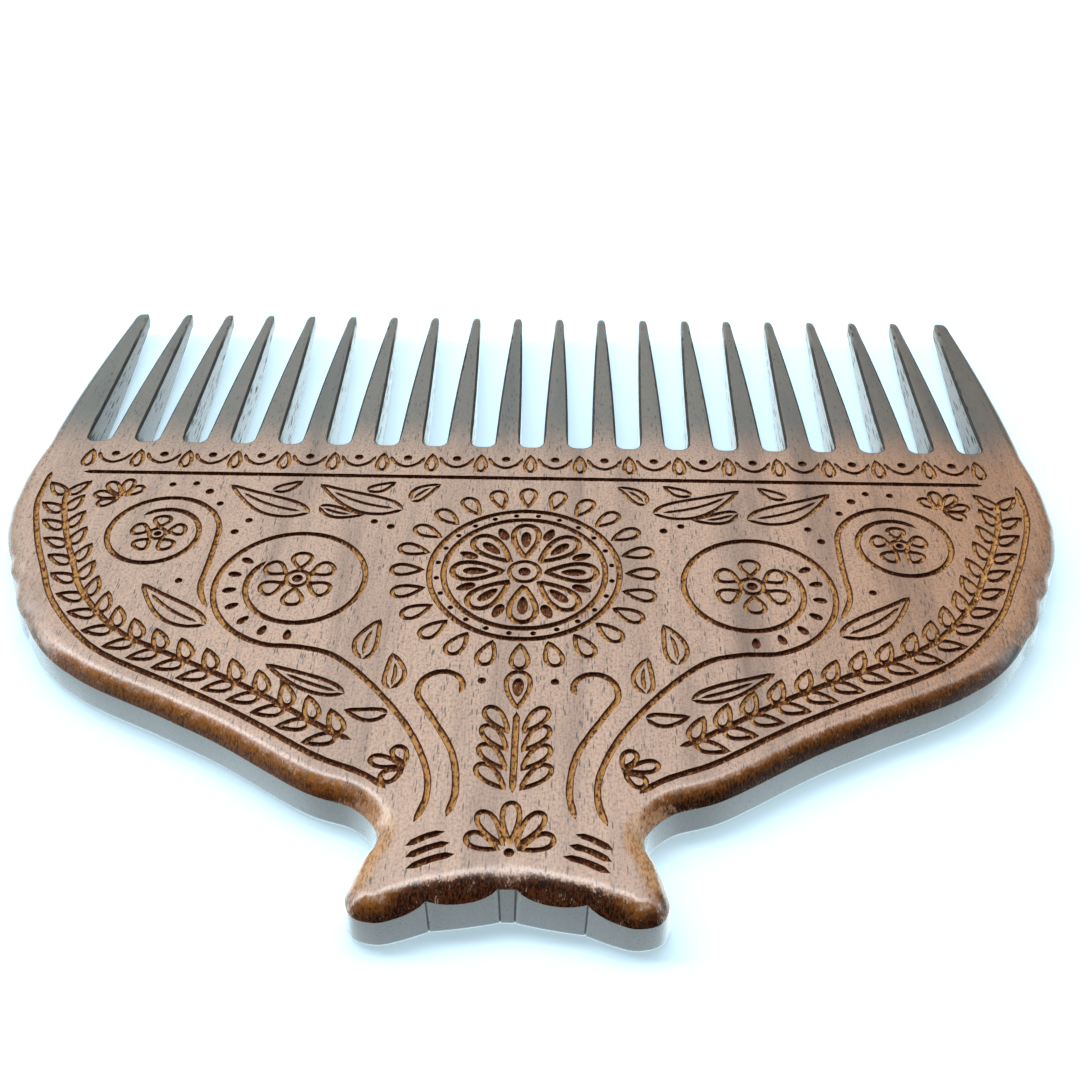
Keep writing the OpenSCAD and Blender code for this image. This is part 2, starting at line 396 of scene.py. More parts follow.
def flower(cx, cy, r, petals):
    shares = flowerShares
    bead(cx, cy, r * shares["eye"])
    ring(cx, cy, r * shares["ring"], carving["fineWidth"])
    for k in range(petals):
        a = 90 + 360 * k / petals
        x, y = away(cx, cy, a, r * shares["petalFrom"])
        drop(x, y, a, r * shares["petalLength"], r * shares["petalWidth"] / petals)


def fan(cx, cy, heading, spread, count, r0, r1, wide, both=True):
    # drops side by side round (cx, cy), the middle one longest
    for k in range(count):
        t = (k - (count - 1) / 2) / ((count - 1) / 2)
        a = heading + spread * t / 2
        drop(*away(cx, cy, a, r0), a, (r1 - r0) * (1 - carving["fanFall"] * t * t), wide, both=both)


garlandShape = {
    "fromRim": 7.6, "low": 22.0, "high": 66.6, "first": 1.4, "last": 1.0, "gap": 3.7, "ahead": 0.6,
    "stemThinning": 12, "stemEnds": (1.4, 1.4),
    "leafLength": 3.5, "leafWidth": 1.75, "leafAngle": 40, "leafOff": 0.62,
}


def carveGarland():
    # a stem that follows the rim, with a leaf on either side at every step
    shape = garlandShape
    line = smoothLine(alongRim(shape["fromRim"], shape["low"], shape["high"]))
    engrave(line[::shape["stemThinning"]], None, shape["stemEnds"])
    run = runAlong(line)
    far = shape["leafLength"] + shape["leafOff"]
    for mark in np.arange(shape["first"], run[-1] - shape["last"], shape["gap"]):
        x, y = (np.interp(mark, run, line[:, k]) for k in (0, 1))
        ahead = [np.interp(mark + shape["ahead"], run, line[:, k]) for k in (0, 1)]
        heading = math.degrees(math.atan2(ahead[1] - y, ahead[0] - x))
        for side in (1, -1):
            a = heading + side * shape["leafAngle"]
            drop(*away(x, y, a, far), a + 180, shape["leafLength"], shape["leafWidth"])


def carveFestoon():
    # a swag with a bead under every tooth but the guards, a drop under every gap, and a line below them
    for n in range(-9, 9):
        x0, x1 = n * pitch, (n + 1) * pitch
        mid = (x0 + x1) / 2
        swag = [(x0 + 1.05, 73.9), (x0 + 1.75, 72.4), (mid, 71.5), (x1 - 1.75, 72.4), (x1 - 1.05, 73.9)]
        engrave(swag, carving["fineWidth"], both=False, ends=(0.9, 0.9))
        bead(mid, 73.5, 0.62, both=False)
    for n in range(-9, 10):
        drop(n * pitch, 74.4, -90, 3.7, 1.6, both=False)
    engrave([(x, 69.2) for x in (-62.0, -30, 0, 30, 62.0)], None, both=False, ends=(1.5, 1.5))


medallion = {"middle": (0, 50.0), "petals": 8, "rays": 24}


def carveMedallion():
    # petals and seeds in two rings, and rays of drops round them
    cx, cy = medallion["middle"]
    bead(cx, cy, 0.8, both=False)
    ring(cx, cy, 1.9, carving["fineWidth"], both=False)
    petals, rays = medallion["petals"], medallion["rays"]
    for k in range(petals):
        a = 90 + 360 / petals * k
        drop(*away(cx, cy, a, 2.7), a, 6.4, 3.7, carving["lineWidth"], both=False)
        seed(*away(cx, cy, a, 4.6), a, 3.2, 1.3, both=False)
        a += 180 / petals
        seed(*away(cx, cy, a, 9.1), a + 180, 2.6, 1.3, both=False)
    ring(cx, cy, 10.2, both=False)
    ring(cx, cy, 12.0, both=False)
    for k in range(rays):
        a = 90 + 360 / rays * k
        drop(*away(cx, cy, a, 12.9), a, 3.9, 2.2, both=False)
        bead(*away(cx, cy, a + 180 / rays, 11.1), 0.36, both=False)


def carveNeck():
    # an ear of drops on a stem, over a small shell with three strokes on either side
    engrave([(0, 15.2), (0, 20), (0, 26.6)], None, both=False, ends=(1.2, 1.2))
    for k, y in enumerate((15.8, 18.4, 21.0, 23.6)):
        drop(0.85, y, 46 + 3 * k, 4.3, 2.0)
    drop(0, 27.1, 90, 5.6, 3.1, both=False)
    seed(0, 28.8, 90, 2.9, 1.3, both=False)
    fan(0, 7.6, 90, 128, 5, 1.3, 6.4, 2.0, both=False)
    bead(0, 7.8, 0.55, both=False)
    for way in (0, 1.35, 2.7):
        stroke = [(5.4 + 0.45 * way, 7.5 + way), (7.6 + 0.3 * way, 6.9 + way), (10.2 + 0.12 * way, 5.6 + way)]
        engrave(stroke, None, ends=(0.7, 0.9))


scroll = {"middle": (28.2, 47.4), "start": 259, "turn": 500, "outer": 11.6, "inner": 6.0, "seedOff": 0.9}


def carveScrolls():
    # two lines up the neck; the outer one opens into the first scroll, where the second one branches off
    cx, cy = scroll["middle"]
    outerLine = [(10.0, 11.2), (9.0, 14.4), (9.4, 18.4), (12.0, 24.0), (16.6, 30.0), (21.6, 34.6)]
    outerLine += curl(cx, cy, scroll["start"], scroll["turn"], scroll["outer"], scroll["inner"])
    engrave(outerLine, ends=(1.8, 2.4))
    innerLine = [(6.7, 12.0), (6.0, 15.5), (6.8, 20.6), (9.6, 25.8)] + curl(8.3, 30.0, -30, 235, 3.3, 1.8)
    engrave(innerLine, None, ends=(1.6, 1.1))
    flower(28.4, 48.0, 4.7, 6)
    # seeds midway between the first scroll's line and its next turn
    oneTurn = 360 / scroll["turn"]
    half = (scroll["outer"] - scroll["inner"]) / 2
    for a in range(268, 390, 20):
        t = (a - scroll["start"]) / scroll["turn"]
        far = scroll["outer"] - half * (t ** carving["curlPower"] + (t + oneTurn) ** carving["curlPower"])
        seed(*away(cx, cy, a, far - scroll["seedOff"]), a, 1.8, 1.0)
    branch = [(38.6, 42.4), (40.2, 46.0), (40.2, 50.6)] + curl(48.2, 56.4, 190, -500, 8.1, 4.5)
    engrave(branch, ends=(2.5, 2.2))
    flower(48.2, 56.2, 3.5, 5)


def carveLeaves():
    # on the stems
    leaf((38.0, 39.4), (47.6, 46.6), 1.8, -0.9, 0.8)
    leaf((14.6, 29.6), (15.0, 35.4), 1.2, 0.5)
    leaf((19.6, 28.8), (29.6, 33.2), 1.2, -0.4)
    fan(11.4, 18.4, 14, 96, 3, 0.6, 4.2, 1.7)
    leaf((18.4, 34.2), (17.0, 41.0), 1.4, -0.5)
    leaf((14.4, 26.0), (19.4, 26.4), 0.9, -0.5, 0)
    # over the first scroll
    leaf((16.6, 62.0), (28.6, 67.2), 2.0, -1.1, 0.8)
    leaf((29.0, 61.0), (40.8, 66.8), 2.0, -1.1, 0.8)
    leaf((15.8, 63.8), (12.0, 67.6), 1.2, -0.5)
    leaf((28.0, 62.4), (21.6, 60.8), 1.1, 0.6)
    leaf((34.8, 65.6), (31.0, 67.9), 0.8, 0.3, 0)
    leaf((22.0, 66.0), (18.2, 68.0), 0.8, 0.3, 0)
    fan(54.8, 63.4, 52, 150, 5, 0.8, 4.4, 1.6)
    # loose beads
    for x, y, r in ((43.4, 65.2, 0.6), (45.6, 66.9, 0.5), (41.4, 62.6, 0.5), (36.8, 59.2, 0.5),
                    (38.2, 56.8, 0.55), (43.2, 47.2, 0.5), (17.9, 58.4, 0.55), (20.2, 59.4, 0.5),
                    (4.2, 31.2, 0.5), (48.8, 66.6, 0.5)):
        bead(x, y, r)


def carveFace():
    engrave(alongRim(4.0, 15.4, 70.6))
    carveGarland()
    carveFestoon()
    carveMedallion()
    carveNeck()
    carveScrolls()
    carveLeaves()


def addObject(name, data):
    made = bpy.data.objects.new(name, data)
    bpy.context.scene.collection.objects.link(made)
    return made


def makeMesh(name, verts, faces, slots, materials, attributes):
    # vertices come in millimetres with Y from the tail end, and go in the shared frame in metres
    mesh = bpy.data.meshes.new(name)
    placed = (np.asarray(verts, float) - (0, board["length"] / 2, 0)) * mm
    mesh.from_pydata(placed.tolist(), [], faces)
    for material in materials:
        mesh.materials.append(material)
    mesh.polygons.foreach_set("material_index", np.asarray(slots, np.int32))
    mesh.polygons.foreach_set("use_smooth", np.ones(len(faces), bool))
    for key, values in attributes.items():
        mesh.attributes.new(key, "FLOAT", "POINT").data.foreach_set("value", np.asarray(values, np.float32))
    mesh.validate()
    mesh.set_sharp_from_angle(angle=math.radians(board["sharpAngle"]))
    return addObject(name, mesh)


def tubeFaces(rows, count):
    # quads between neighbouring rows of a closed tube, row by row
    faces = []
    for j in range(rows - 1):
        low, high = j * count, (j + 1) * count
        faces += [(low + i, low + (i + 1) % count, high + (i + 1) % count, high + i) for i in range(count)]
    return faces


def wound(triangle, points, up):
    # the triangle with its corners in the order that makes it face up or down
    a, b, c = (points[i] for i in triangle)
    area = (b[0] - a[0]) * (c[1] - a[1]) - (b[1] - a[1]) * (c[0] - a[0])
    wrong = area < 0 if up else area > 0
    return triangle[::-1] if wrong else triangle


def grooveSamples():
    # close places on every groove's middle: x, y, width, and how far the groove runs along the board there
    samples = []
    for centre, normal, widths, closed in strokes:
        line = np.vstack([centre, centre[:1]]) if closed else centre
        wide = np.append(widths, widths[:1]) if closed else widths
        for i in range(len(line) - 1):
            step = line[i + 1] - line[i]
            along = abs(unit(step)[1])
            count = max(1, int(np.linalg.norm(step) / carving["sampleStep"]))
            for k in range(count):
                t = k / count
                x, y = line[i] + t * step
                samples.append((x, y, between(wide[i], wide[i + 1], t), along))
        samples.append((line[-1][0], line[-1][1], wide[-1], along))
    return samples


def carvedDepth(spots):
    # depth of the carving at each spot, and how far the groove there runs along the board (1) or across (0)
    samples = grooveSamples()
    tree = KDTree(len(samples))
    for i, sample in enumerate(samples):
        tree.insert((sample[0], sample[1], 0), i)
    tree.balance()
    reach = max(sample[2] for sample in samples) / 2
    profileAt, profileDepth = (0, carving["shoulder"], carving["lip"]), (1, carving["shoulderDepth"], 0)
    depth, run = np.zeros(len(spots)), np.zeros(len(spots))
    for i, (x, y) in enumerate(spots):
        for _, index, far in tree.find_range((x, y, 0), reach):
            width = samples[index][2]
            if far < width / 2:
                d = width * carving["depthShare"] * np.interp(2 * far / width, profileAt, profileDepth)
                if d > depth[i]:
                    depth[i], run[i] = d, samples[index][3]
    return depth, run


def netInside(points, edges, count, apart):
    # a net over the points and edges, inside the border that the first count points make; points that lie
    # less than apart from each other become one. Only triangles inside come with an origin among the faces
    made, _, triangles, origins, _, fromFaces = delaunay_2d_cdt(
        [Vector(p) for p in points], edges, [list(range(count))], 0, apart, True)
    return made, [t for t, origin in zip(triangles, fromFaces) if origin], origins


def carvedFace(border):
    # fine net over the front face: its border, the grooves' edges, shoulders and floors, and the pits
    spots, edges, pitDepth = list(border), [(i, (i + 1) % len(border)) for i in range(len(border))], {}

    def addLine(points, closed):
        first = len(spots)
        spots.extend(tuple(p) for p in points)
        last = len(spots) - 1
        edges.extend((i, i + 1) for i in range(first, last))
        if closed:
            edges.append((last, first))

    for centre, normal, widths, closed in strokes:
        for share in (1, carving["shoulder"], 0, -carving["shoulder"], -1):
            addLine(centre + normal * (share * widths / 2)[:, None], closed)
    for outline in pits:
        inward = leftOf(np.roll(outline, -1, 0) - np.roll(outline, 1, 0))
        for way, share in ((0, 0), (carving["pitWall"], 1)):
            first = len(spots)
            addLine(outline + inward * way, True)
            for i in range(first, len(spots)):
                pitDepth[i] = share * carving["pitDepth"]
    made, triangles, fromSpots = netInside(spots, edges, len(border), 1e-5)
    made = np.array([(p[0], p[1]) for p in made])
    depth, run = carvedDepth(made)
    borderIndex = {}
    for i, origins in enumerate(fromSpots):
        for origin in origins:
            if origin < len(border):
                borderIndex[origin] = i
                depth[i] = 0
            elif origin in pitDepth:
                depth[i] = max(depth[i], pitDepth[origin])
    print("comb: face net,", len(made), "points,", len(triangles), "triangles,", len(strokes), "grooves")
    return made, triangles, depth, run, borderIndex


def buildBoard(materials):
    # material slots: 0 the satin outside, 1 the grooves, 2 the sawn gap bottoms
    points = fullOutline()
    count = len(points)
    profiles = [roundOver(front, inGap) for p, n, front, inGap in points]
    levels = len(profiles[0])
    verts, turn = [], []
    for j in range(levels):
        for (p, n, *_), profile in zip(points, profiles):
            way, z, t = profile[j]
            verts.append((p[0] + n[0] * way, p[1] + n[1] * way, z))
            turn.append(t)
    faces = tubeFaces(levels, count)
    slots = [2 if points[i][3] and points[(i + 1) % count][3] else 0 for i in range(count)] * (levels - 1)
    # the carved front, on the wall's last row
    lastRow = (levels - 1) * count
    made, triangles, depth, run, borderIndex = carvedFace([v[:2] for v in verts[lastRow:]])
    place = {i: lastRow + origin for origin, i in borderIndex.items()}
    carve, lengthwise = [0.0] * len(verts), [0.0] * len(verts)
    deepest = depth.max()
    for i, p in enumerate(made):
        if i not in place:
            place[i] = len(verts)
            verts.append((p[0], p[1], board["thick"] - depth[i]))
            turn.append(0)
            carve.append(depth[i] / deepest)
            lengthwise.append(run[i])
    for t in triangles:
        faces.append(tuple(place[i] for i in wound(t, made, True)))
        slots.append(1 if max(depth[i] for i in t) > carving["carvedFrom"] else 0)
    # the plain back, on the wall's first row
    made, triangles, _ = netInside([v[:2] for v in verts[:count]], [], count, 1e-6)
    faces += [tuple(wound(t, made, False)) for t in triangles]
    slots += [0] * len(triangles)
    attributes = {"turn": turn, "carve": carve, "lengthwise": lengthwise}
    piece = makeMesh("carved_body", verts, faces, slots, materials, attributes)
    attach(piece, "root")
    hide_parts("comb_body")


tooth = {
    "tipWidth": 1.5, "tipThick": 2.0, "tipRound": 3.4, "tipEnd": 0.05, "edgeRound": 0.4,
    "guardTip": 2.3, "guardLean": 2.2, "widthPower": 1.5, "thickPower": 1.25, "settle": 0.05,
    "shaftSections": 26, "tipSections": 12,
}


def toothStations(straight):
    # how far along the tooth each section lies, and its share of the full size, which closes over the tip
    stops = [(straight * k / tooth["shaftSections"], 1.0) for k in range(tooth["shaftSections"])]
    for k in range(tooth["tipSections"] + 1):
        c, s = toward(90 * k / tooth["tipSections"])
        stops.append((straight + tooth["tipRound"] * s, max(c, tooth["tipEnd"])))
    stops.insert(1, (straight * tooth["settle"] / 3, 1.0))
    return stops


def toothSide(x, side, z0, z1, front, back, edgeStep):
    # one long side of a section, from the back edge to the front edge: place across, height and turn
    steps = board["frontSteps"]
    column = [(x - side * way, z0 + z, 1) for way, z in quarterRound(back, board["backSteps"])]
    column.append((x, z1 - front - edgeStep, 1))
    for k, (down, way) in enumerate(quarterRound(front, steps)):
        column.append((x - side * way, z1 - down, 1 - k / steps))
    return column


def toothSection(s, share, rootEdges, tipEdges, outer):
    # once round a section: up the right side and down the left
    x0, x1 = (between(root, tip, s ** tooth["widthPower"]) for root, tip in zip(rootEdges, tipEdges))
    z0 = (board["thick"] - tooth["tipThick"]) / 2 * s ** tooth["thickPower"]
    z1 = board["thick"] - z0
    mx, mz = (x0 + x1) / 2, (z0 + z1) / 2
    x0, x1 = (between(mx, x, share) for x in (x0, x1))
    z0, z1 = (between(mz, z, share) for z in (z0, z1))
    plain = between(board["sawnRound"], tooth["edgeRound"], min(s / tooth["settle"], 1))
    section = []
    for side, x in ((1, x1), (-1, x0)):
        front = back = plain
        if side == outer:
            front, back = (between(board[key], tooth["edgeRound"], s) for key in ("guardRound", "backRound"))
        column = toothSide(x, side, z0, z1, front * share, back * share, board["edgeStep"] * share)
        section += column if side > 0 else column[::-1]
    return section


def buildTooth(name, node, rootEdges, tipEdges, outer, materials):
    # lofted from the joint to the tip; outer is -1 or 1 where that long edge is part of the rim, else 0.
    # Material slots: 0 the satin outside, 1 the sawn sides
    straight = board["length"] - jointY - tooth["tipRound"]
    stops = toothStations(straight)
    verts, turn = [], []
    for run, share in stops:
        section = toothSection(min(run / straight, 1), share, rootEdges, tipEdges, outer)
        verts += [(x, jointY + run, z) for x, z, t in section]
        turn += [t for x, z, t in section]
    around = len(section)
    corner = around // 2 - 1
    onRight = [i < corner for i in range(around)]
    onLeft = [corner < i < around - 1 for i in range(around)]
    sawn = [(onRight[i] and outer != 1) or (onLeft[i] and outer != -1) for i in range(around)]
    faces = tubeFaces(len(stops), around)
    faces.append(tuple(range(around - 1, -1, -1)))
    faces.append(tuple((len(stops) - 1) * around + i for i in range(around)))
    slots = [int(flag) for flag in sawn] * (len(stops) - 1) + [1, 0]
    piece = makeMesh(name, verts, [f[::-1] for f in faces], slots, materials, {"turn": turn})
    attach(piece, "root")
    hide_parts(node)


def buildTeeth(materials):
    half, tipHalf = toothWidth / 2, tooth["tipWidth"] / 2
    for n in range(2, board["toothCount"]):
        x = (n - (board["toothCount"] + 1) / 2) * pitch
        edges = (x - half, x + half), (x - tipHalf, x + tipHalf)
        buildTooth(f"sanded_tooth_{n:02d}", f"tooth_{n:02d}", *edges, 0, materials)
    tipOut = guardOut - tooth["guardLean"]
    tipIn = tipOut - tooth["guardTip"]
    left = (-guardOut, -guardIn), (-tipOut, -tipIn)
    right = (guardIn, guardOut), (tipIn, tipOut)
    buildTooth("sanded_guard_left", "guard_tooth_left", *left, -1, materials)
    buildTooth("sanded_guard_right", "guard_tooth_right", *right, 1, materials)


def addNode(tree, kind, values=None, **settings):
    # a node with its settings, and its inputs set or linked by name or number
    node = tree.nodes.new("ShaderNode" + kind)
    for key, value in settings.items():
        setattr(node, key, value)
    for key, value in (values or {}).items():
        if isinstance(value, bpy.types.NodeSocket):
            tree.links.new(value, node.inputs[key])
        else:
            node.inputs[key].default_value = value
    return node


def mathNode(tree, operation, *values, clamp=False):
    return addNode(tree, "Math", dict(enumerate(values)), operation=operation, use_clamp=clamp).outputs[0]


def product(tree, first, *others):
    for value in others:
        first = mathNode(tree, "MULTIPLY", first, value)
    return first


def weighted(tree, a, b, share):
    # a share of a and the rest of b
    return mathNode(tree, "MULTIPLY_ADD", a, share, mathNode(tree, "MULTIPLY", b, 1 - share))


def fade(tree, value, low, high, first=0.0, last=1.0):
    values = {"Value": value, "From Min": low, "From Max": high, "To Min": first, "To Max": last}
    return addNode(tree, "MapRange", values, interpolation_type="SMOOTHSTEP").outputs["Result"]


def mixColour(tree, share, a, b, how="MIX"):
    # inputs 6 and 7 of a mix node are its two colours
    a, b = (value if isinstance(value, bpy.types.NodeSocket) else (*value, 1) for value in (a, b))
    return addNode(tree, "Mix", {0: share, 6: a, 7: b}, data_type="RGBA", blend_type=how).outputs[2]


def newGroup(name, inputs, outputs):
    group = bpy.data.node_groups.new(name, "ShaderNodeTree")
    for key, value in inputs.items():
        socket = group.interface.new_socket(name=key, in_out="INPUT", socket_type="NodeSocketFloat")
        socket.default_value = value
    for key in outputs:
        group.interface.new_socket(name=key, in_out="OUTPUT", socket_type="NodeSocketFloat")
    return group, group.nodes.new("NodeGroupInput"), group.nodes.new("NodeGroupOutput")


def placeGroup(tree, group, values=None):
    return addNode(tree, "Group", values, node_tree=group)


def objectPlace(tree):
    return addNode(tree, "SeparateXYZ", {0: addNode(tree, "TexCoord").outputs["Object"]}).outputs


def attribute(tree, name):
    return addNode(tree, "Attribute", attribute_name=name).outputs["Fac"]


def stretched(tree, size):
    # object coordinates in units of a pattern size given in millimetres
    place = addNode(tree, "TexCoord").outputs["Object"]
    scale = tuple(1 / mm / s for s in size)
    return addNode(tree, "Mapping", {"Vector": place, "Scale": scale}).outputs["Vector"]


def noise(tree, size, detail, rough, distortion=0.0):
    values = {"Scale": 1.0, "Detail": detail, "Roughness": rough, "Distortion": distortion}
    return addNode(tree, "TexNoise", {"Vector": stretched(tree, size), **values}).outputs["Fac"]


# a noise is given as its pattern size in millimetres, detail, roughness and, for the bands, distortion
grainLook = {
    "bands": ((5.0, 60.0, 5.0), 4.0, 0.6, 0.4), "fibre": ((0.16, 2.4, 0.16), 3.0, 0.6),
    "fleck": ((0.3, 0.42, 0.3), 2.5, 0.65), "fibreInFleck": 0.35, "fibreInHeight": 0.5,
    "poreShare": 0.16, "poreLength": 1.6, "poreSize": (0.28, 1.0, 0.28), "poreEdge": (0.2, 0.42, 1.0, 0.0),
    "rows": ((0.75, 45.0, 0.75), 1.0, 0.5), "rowShare": (0.5, 0.68, 0.25, 5.0),
}


def makeGrainGroup():
    # wood grain that runs along Y: slow bands, fine fleck, short open pores and a height for bump
    look = grainLook
    inputs = {"Pore Share": look["poreShare"], "Pore Length": look["poreLength"]}
    group, given, out = newGroup("woodGrain", inputs, ("Bands", "Fleck", "Pores", "Height"))
    bands, fibre, fleck, rows = (noise(group, *look[key]) for key in ("bands", "fibre", "fleck", "rows"))
    length = mathNode(group, "DIVIDE", 1.0, given.outputs["Pore Length"])
    place = addNode(group, "SeparateXYZ", {0: stretched(group, look["poreSize"])})
    lengthwise = mathNode(group, "MULTIPLY", place.outputs["Y"], length)
    place = addNode(group, "CombineXYZ", {0: place.outputs["X"], 1: lengthwise, 2: place.outputs["Z"]})
    cells = addNode(group, "TexVoronoi", {"Vector": place.outputs[0], "Scale": 1.0, "Randomness": 1.0})
    chance = addNode(group, "SeparateColor", {0: cells.outputs["Color"]}).outputs[0]
    wanted = product(group, given.outputs["Pore Share"], fade(group, rows, *look["rowShare"]))
    chosen = mathNode(group, "LESS_THAN", chance, wanted)
    pores = product(group, chosen, fade(group, cells.outputs["Distance"], *look["poreEdge"]))
    height = mathNode(group, "SUBTRACT", weighted(group, fibre, fleck, look["fibreInHeight"]), pores)
    mixed = weighted(group, fibre, fleck, look["fibreInFleck"])
    for key, value in (("Bands", bands), ("Fleck", mixed), ("Pores", pores), ("Height", height)):
        group.links.new(value, out.inputs[key])
    return group


scorchLook = {
    "coarse": ((1.6, 1.6, 1.6), 3.0, 0.6), "hair": ((0.23, 0.6, 0.5), 2.5, 0.65), "coarseShare": 0.45,
    "raggedness": (0.0, 0.25, 0.0, 4.2), "edge": (0.24, 0.74),
}


def makeScorchGroup():
    # burn with a ragged edge, and the hair-fine streaks in it that run over the rim
    look = scorchLook
    group, given, out = newGroup("scorch", {"Amount": 0.0}, ("Scorched", "Streaks"))
    amount = given.outputs["Amount"]
    coarse, hair = noise(group, *look["coarse"]), noise(group, *look["hair"])
    speckle = mathNode(group, "SUBTRACT", weighted(group, coarse, hair, look["coarseShare"]), 0.5)
    edge = mathNode(group, "ADD", product(group, speckle, fade(group, amount, *look["raggedness"])), amount)
    group.links.new(fade(group, edge, *look["edge"]), out.inputs["Scorched"])
    group.links.new(hair, out.inputs["Streaks"])
    return group


grainGroup, scorchGroup = makeGrainGroup(), makeScorchGroup()


def newMaterial(name, values):
    material = bpy.data.materials.new(name)
    material.use_nodes = True
    tree = material.node_tree
    shader = tree.nodes["Principled BSDF"]
    for key, value in values.items():
        shader.inputs[key].default_value = value
    return material, tree, shader


def setShader(tree, shader, **sockets):
    for key, value in sockets.items():
        tree.links.new(value, shader.inputs[key.replace("_", " ")])


def bump(tree, height, strength, reach):
    values = {"Height": height, "Strength": strength, "Distance": reach * mm}
    return addNode(tree, "Bump", values).outputs["Normal"]


faceLook = {
    "light": (0.455, 0.265, 0.18), "dark": (0.12, 0.056, 0.034), "pore": (0.03, 0.014, 0.01),
    # the tooth colour is a painted grey-teal: it stands in for the cool backdrop mirrored in the teeth and
    # for shade on them
    "rightShade": (0.84, 0.69, 0.52), "wall": (0.075, 0.052, 0.04), "tooth": (0.048, 0.058, 0.058),
    "scorchLight": (0.46, 0.17, 0.032), "scorchMid": (0.09, 0.024, 0.006),
    "scorchDark": (0.009, 0.002, 0.0008), "toasted": (0.48, 0.25, 0.105), "toastedDark": (0.25, 0.09, 0.028),
    "paintedToothShare": 0.75, "wallShare": 0.9, "poreShare": 0.85, "waistLess": 0.88, "cornerLess": 0.6,
    "bandFrom": 0.04, "bandFull": 0.66, "bandSooner": 0.46, "deeper": 0.45,
    "mottle": (0.38, 0.56), "paleStreaks": (0.32, 0.58), "deepStreaks": (0.4, 0.66),
    "glossRough": 0.18, "satinRough": 0.2, "satinSpread": 0.3, "relief": (0.35, 0.05),
}
# for each mask: what it is read from, low, high and, where they aren't 0 and 1, the values there
faceMasks = {
    "bands": ("bands", 0.1, 0.6), "fleck": ("fleck", 0.26, 0.6),
    # the right-side mask and its multiply colour darken and brown the right of the face: painted shade in
    # place of its weaker sheen
    "shadedRight": ("x", 0.022, 0.062), "flanks": ("x", -0.03, 0.03, 0.34, 0.64),
    "tailMiddle": ("aside", 0.009, 0.0145, 1.0, 0.4), "tailCorner": ("aside", 0.0142, 0.0158),
    "waistSide": ("aside", 0.0092, 0.0115), "waistLow": ("y", -0.0552, -0.0532),
    "waistHigh": ("y", -0.0455, -0.0425, 1.0, 0.0), "tail": ("y", -0.044, -0.049),
    "belowShoulders": ("y", -0.012, -0.026, 0.25, 1.0), "belowTeeth": ("y", 0.004, 0.014, 1.0, 0.0),
    "teeth": ("y", 0.0135, 0.027), "wall": ("turn", 0.62, 0.78), "aboveWall": ("turn", 0.62, 0.78, 1.0, 0.0),
    "toasted": ("turn", 0.01, 0.22, 0.0, 0.85), "deep": ("turn", 0.2, 0.6), "glossy": ("turn", 0.0, 0.07),
}


def burnMasks(tree, turn, mask):
    # the waist; how deep the burn on the round-over is, deepest on the tail and lightest on the left flank;
    # and the burn's band, faint at the waist and the shoulders
    look = faceLook
    waist = product(tree, mask["waistSide"], mask["waistLow"], mask["waistHigh"])
    corner = product(tree, mask["tailCorner"], mask["tail"])
    burn = mathNode(tree, "MAXIMUM", product(tree, mask["tail"], mask["tailMiddle"]), mask["flanks"])
    full = mathNode(tree, "MULTIPLY_ADD", burn, -look["bandSooner"], look["bandFull"])
    band = product(tree, fade(tree, turn, look["bandFrom"], full), mask["aboveWall"],
                   mask["belowShoulders"], mask["belowTeeth"])
    for place, less in ((waist, look["waistLess"]), (corner, look["cornerLess"])):
        band = product(tree, band, mathNode(tree, "MULTIPLY_ADD", place, -less, 1.0))
    return waist, burn, band


def makeFaceWood():
    # pale satin wood; darker and browner to the right as painted shade; a painted grey-teal on the teeth that
    # stands in for the cool backdrop they mirror and for shade; grey on the flat edge; burnt on the
    # round-over
    material, tree, shader = newMaterial("satinHardwood", {"IOR": 1.55})
    look, grain = faceLook, placeGroup(tree, grainGroup).outputs
    turn, place = attribute(tree, "turn"), objectPlace(tree)
    aside = mathNode(tree, "ABSOLUTE", place["X"])
    sources = {"turn": turn, "x": place["X"], "y": place["Y"], "aside": aside,
               "bands": grain["Bands"], "fleck": grain["Fleck"]}
    mask = {name: fade(tree, sources[source], *span) for name, (source, *span) in faceMasks.items()}
    waist, burn, band = burnMasks(tree, turn, mask)
    scorch = placeGroup(tree, scorchGroup, {"Amount": band})
    streaks = scorch.outputs["Streaks"]
    mottled = mixColour(tree, fade(tree, streaks, *look["mottle"]), look["toastedDark"], look["toasted"])
    pale = mixColour(tree, fade(tree, streaks, *look["paleStreaks"]), look["scorchMid"], look["scorchLight"])
    deep = mixColour(tree, fade(tree, streaks, *look["deepStreaks"]), look["scorchDark"], look["scorchMid"])
    depth = mathNode(tree, "MULTIPLY_ADD", mask["deep"], look["deeper"], burn, clamp=True)
    tone = mixColour(tree, mask["bands"], look["dark"], look["light"])
    tone = mixColour(tree, mask["fleck"], look["dark"], tone)
    # painted shade: the right of the face darkened and browned in place of its weaker sheen
    tone = mixColour(tree, mask["shadedRight"], tone, look["rightShade"], "MULTIPLY")
    # painted reflection and shade: the teeth take a grey-teal in place of the cool glare and dimmer light
    # they get
    for share, over in ((product(tree, mask["teeth"], look["paintedToothShare"]), look["tooth"]),
                        (product(tree, waist, mask["toasted"]), mottled),
                        (scorch.outputs["Scorched"], mixColour(tree, depth, pale, deep)),
                        (product(tree, mask["wall"], look["wallShare"]), look["wall"]),
                        (product(tree, grain["Pores"], look["poreShare"]), look["pore"])):
        tone = mixColour(tree, share, tone, over)
    satin = mathNode(tree, "MULTIPLY_ADD", grain["Fleck"], look["satinSpread"], look["satinRough"])
    toGloss = mathNode(tree, "SUBTRACT", look["glossRough"], satin)
    rough = mathNode(tree, "MULTIPLY_ADD", toGloss, mask["glossy"], satin)
    normal = bump(tree, grain["Height"], *look["relief"])
    setShader(tree, shader, Base_Color=tone, Roughness=rough, Normal=normal)
    return material


